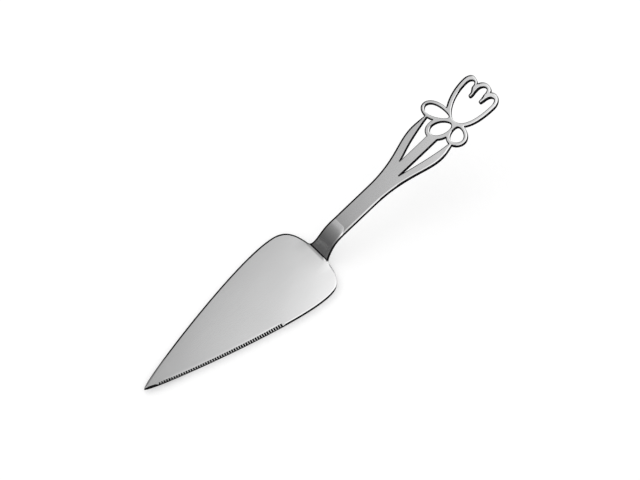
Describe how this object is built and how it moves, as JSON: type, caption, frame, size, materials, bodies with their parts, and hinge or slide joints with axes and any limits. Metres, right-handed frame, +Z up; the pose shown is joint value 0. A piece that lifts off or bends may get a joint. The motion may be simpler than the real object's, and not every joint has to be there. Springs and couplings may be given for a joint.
{
  "type": "cake lifter",
  "caption": "Leaf-shaped cake lifter with a serrated edge and a raised strap handle that opens into leaves, loops and an outlined tulip, for cutting and serving slices.",
  "frame": {"origin": "middle of the flat underside of the handle's foot, the face the lifter rests on", "axes": "+X along the lifter from the blade's tip to the tulip, -Y towards the serrated edge, +Z up out of the blade's upper face"},
  "size_m": [0.2491, 0.0478, 0.0444],
  "materials": {
    "blade_steel": "satin stainless steel, fine grain along the blade",
    "handle_steel": "satin stainless steel, tumbled cut edges",
    "weld_steel": "fused steel, hidden between the sheets"
  },
  "bodies": {
    "root": {"blade": "blade_steel", "handle": "handle_steel", "spot_weld_front": "weld_steel", "spot_weld_left": "weld_steel", "spot_weld_right": "weld_steel"}
  },
  "joints": []
}
